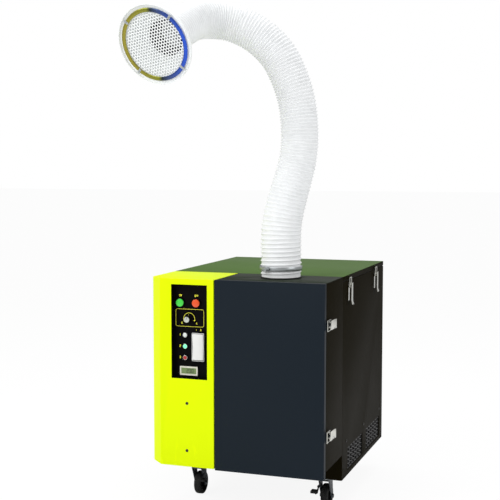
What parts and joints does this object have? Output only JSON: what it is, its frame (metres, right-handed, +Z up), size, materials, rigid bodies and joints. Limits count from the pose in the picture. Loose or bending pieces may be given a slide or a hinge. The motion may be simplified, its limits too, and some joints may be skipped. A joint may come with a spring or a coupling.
{
  "type": "mobile welding fume extractor",
  "caption": "Wheeled fume extractor cabinet with a yellow control cover, latched door and lid, and a self-standing white hose that ends in a round mesh hood.",
  "frame": {"origin": "middle of the whole object's footprint, hose and hood included, on the floor under the wheels", "axes": "+Z up; the front with the door and controls faces -Y; +X is the latch side, the operator's right"},
  "size_m": [0.5752, 1.0208, 1.5563],
  "materials": {
    "black_paint": "satin black paint",
    "black_plastic": "matt black",
    "chrome": "bright plating",
    "dark_paint": "dark blue-grey fine-textured powder coat",
    "foam": "black sponge strip",
    "galvanised": "galvanised sheet",
    "green_plastic": "translucent green",
    "knob_plastic": "light grey cap on a black skirt",
    "motor_paint": "grey enamel",
    "paper": "pleated filter media",
    "red_plastic": "orange-red",
    "rubber": "black rubber",
    "steel": "polished stainless steel",
    "white_hose": "white flexible PVC with a moulded-in spiral",
    "white_paint": "white paint",
    "white_plastic": "white",
    "yellow_paint": "bright yellow powder coat",
    "zinc": "bright zinc plating"
  },
  "bodies": {
    "cabinet": {"base_pan": "dark_paint", "blower_housing": "galvanised", "cable_gland": "black_plastic", "control_cover": "yellow_paint", "control_plate": "black_plastic", "door_hinge_fixed": "zinc", "door_latch_lower_base": "chrome", "door_latch_upper_base": "chrome", "dust_tray": "galvanised", "filter_shelf": "galvanised", "front_box": "black_paint", "front_caster_plate_left": "zinc", "front_caster_plate_right": "zinc", "front_deck": "dark_paint", "front_wall": "dark_paint", "hood_cone": "white_paint", "hood_mesh": "white_paint", "hood_ring": "steel", "hose": "white_hose", "hose_clamp": "steel", "inlet_spigot": "black_paint", "left_side_panel": "dark_paint", "lid_hinge_fixed": "zinc", "lid_latch_front_base": "chrome", "lid_latch_rear_base": "chrome", "main_filter": "paper", "motor": "motor_paint", "rear_caster_bracket_left": "zinc", "rear_caster_bracket_right": "zinc", "rear_panel": "dark_paint", "right_side_panel": "dark_paint", "spark_screen": "galvanised", "vent_mesh": "black_paint"},
    "door": {"door": "dark_paint", "door_gasket": "foam", "door_hinge_leaf": "zinc"},
    "lid": {"lid": "dark_paint", "lid_gasket": "foam", "lid_hinge_leaf": "zinc"},
    "start_button": {"start_button": "green_plastic"},
    "stop_button": {"stop_button": "red_plastic"},
    "speed_knob": {"speed_knob": "knob_plastic"},
    "power_rocker": {"power_rocker": "white_plastic"},
    "impeller": {"impeller": "galvanised"},
    "door_latch_lower_lever": {"door_latch_lower_lever": "chrome"},
    "door_latch_lower_bail": {"door_latch_lower_bail": "chrome"},
    "door_latch_upper_lever": {"door_latch_upper_lever": "chrome"},
    "door_latch_upper_bail": {"door_latch_upper_bail": "chrome"},
    "lid_latch_front_lever": {"lid_latch_front_lever": "chrome"},
    "lid_latch_front_bail": {"lid_latch_front_bail": "chrome"},
    "lid_latch_rear_lever": {"lid_latch_rear_lever": "chrome"},
    "lid_latch_rear_bail": {"lid_latch_rear_bail": "chrome"},
    "front_fork_left": {"front_caster_fork_left": "zinc"},
    "front_wheel_left": {"front_caster_wheel_left": "rubber"},
    "brake_pedal_left": {"brake_pedal_left": "black_plastic"},
    "rear_wheel_left": {"rear_caster_wheel_left": "rubber"},
    "front_fork_right": {"front_caster_fork_right": "zinc"},
    "front_wheel_right": {"front_caster_wheel_right": "rubber"},
    "brake_pedal_right": {"brake_pedal_right": "black_plastic"},
    "rear_wheel_right": {"rear_caster_wheel_right": "rubber"}
  },
  "joints": [
    {"name": "door_hinge", "type": "hinge", "parent": "cabinet", "child": "door", "pos_m": [-0.0578, -0.28258, 0.21354], "axis": [0, 0, -1], "range_deg": [0, 110]},
    {"name": "lid_hinge", "type": "hinge", "parent": "cabinet", "child": "lid", "pos_m": [-0.2812, -0.04689, 0.71704], "axis": [0, -1, 0], "range_deg": [0, 95]},
    {"name": "door_latch_lower_lever", "type": "hinge", "parent": "cabinet", "child": "door_latch_lower_lever", "pos_m": [0.2791, -0.25389, 0.28754], "axis": [0, 0, -1], "range_deg": [0, 110]},
    {"name": "door_latch_lower_bail", "type": "hinge", "parent": "door_latch_lower_lever", "child": "door_latch_lower_bail", "pos_m": [0.2781, -0.24388, 0.28754], "axis": [0, 0, -1], "range_deg": [-128, 0]},
    {"name": "door_latch_upper_lever", "type": "hinge", "parent": "cabinet", "child": "door_latch_upper_lever", "pos_m": [0.2791, -0.25389, 0.61154], "axis": [0, 0, -1], "range_deg": [0, 110]},
    {"name": "door_latch_upper_bail", "type": "hinge", "parent": "door_latch_upper_lever", "child": "door_latch_upper_bail", "pos_m": [0.2781, -0.24388, 0.61154], "axis": [0, 0, -1], "range_deg": [-128, 0]},
    {"name": "lid_latch_front_lever", "type": "hinge", "parent": "cabinet", "child": "lid_latch_front_lever", "pos_m": [0.2791, -0.00788, 0.70604], "axis": [0, -1, 0], "range_deg": [0, 110]},
    {"name": "lid_latch_front_bail", "type": "hinge", "parent": "lid_latch_front_lever", "child": "lid_latch_front_bail", "pos_m": [0.2781, -0.00788, 0.69604], "axis": [0, -1, 0], "range_deg": [-128, 0]},
    {"name": "lid_latch_rear_lever", "type": "hinge", "parent": "cabinet", "child": "lid_latch_rear_lever", "pos_m": [0.2791, 0.35012, 0.70604], "axis": [0, -1, 0], "range_deg": [0, 110]},
    {"name": "lid_latch_rear_bail", "type": "hinge", "parent": "lid_latch_rear_lever", "child": "lid_latch_rear_bail", "pos_m": [0.2781, 0.35012, 0.69604], "axis": [0, -1, 0], "range_deg": [-128, 0]},
    {"name": "start_press", "type": "slide", "parent": "cabinet", "child": "start_button", "axis": [0, 1, 0], "range_m": [0, 0.003], "stiffness_N_per_m": 300},
    {"name": "stop_press", "type": "slide", "parent": "cabinet", "child": "stop_button", "axis": [0, 1, 0], "range_m": [0, 0.003], "stiffness_N_per_m": 300},
    {"name": "speed_turn", "type": "hinge", "parent": "cabinet", "child": "speed_knob", "pos_m": [-0.1529, -0.26488, 0.61104], "axis": [0, 1, 0], "range_deg": [0, 270]},
    {"name": "power_tip", "type": "hinge", "parent": "cabinet", "child": "power_rocker", "pos_m": [-0.1225, -0.26488, 0.52824], "axis": [1, 0, 0], "range_deg": [-5, 5]},
    {"name": "impeller_spin", "type": "hinge", "parent": "cabinet", "child": "impeller", "pos_m": [-0.0159, 0.19212, 0.22554], "axis": [0, 0, 1], "continuous": true},
    {"name": "front_swivel_left", "type": "hinge", "parent": "cabinet", "child": "front_fork_left", "pos_m": [-0.2154, -0.03689, 0.09444], "axis": [0, 0, 1], "continuous": true},
    {"name": "front_roll_left", "type": "hinge", "parent": "front_fork_left", "child": "front_wheel_left", "pos_m": [-0.2154, -0.01888, 0.03704], "axis": [1, 0, 0], "continuous": true},
    {"name": "brake_left", "type": "hinge", "parent": "front_fork_left", "child": "brake_pedal_left", "pos_m": [-0.2154, -0.04888, 0.07104], "axis": [1, 0, 0], "range_deg": [0, 12]},
    {"name": "rear_roll_left", "type": "hinge", "parent": "cabinet", "child": "rear_wheel_left", "pos_m": [-0.1679, 0.41212, 0.03704], "axis": [1, 0, 0], "continuous": true},
    {"name": "front_swivel_right", "type": "hinge", "parent": "cabinet", "child": "front_fork_right", "pos_m": [0.2096, -0.03689, 0.09444], "axis": [0, 0, 1], "continuous": true},
    {"name": "front_roll_right", "type": "hinge", "parent": "front_fork_right", "child": "front_wheel_right", "pos_m": [0.2096, -0.01888, 0.03704], "axis": [1, 0, 0], "continuous": true},
    {"name": "brake_right", "type": "hinge", "parent": "front_fork_right", "child": "brake_pedal_right", "pos_m": [0.2096, -0.04888, 0.07104], "axis": [1, 0, 0], "range_deg": [0, 12]},
    {"name": "rear_roll_right", "type": "hinge", "parent": "cabinet", "child": "rear_wheel_right", "pos_m": [0.1621, 0.41212, 0.03704], "axis": [1, 0, 0], "continuous": true}
  ],
  "couplings": [
    {"joint": "door_latch_lower_bail", "follows": "door_latch_lower_lever", "ratio": -1.15},
    {"joint": "door_latch_upper_bail", "follows": "door_latch_upper_lever", "ratio": -1.15},
    {"joint": "lid_latch_front_bail", "follows": "lid_latch_front_lever", "ratio": -1.15},
    {"joint": "lid_latch_rear_bail", "follows": "lid_latch_rear_lever", "ratio": -1.15}
  ]
}
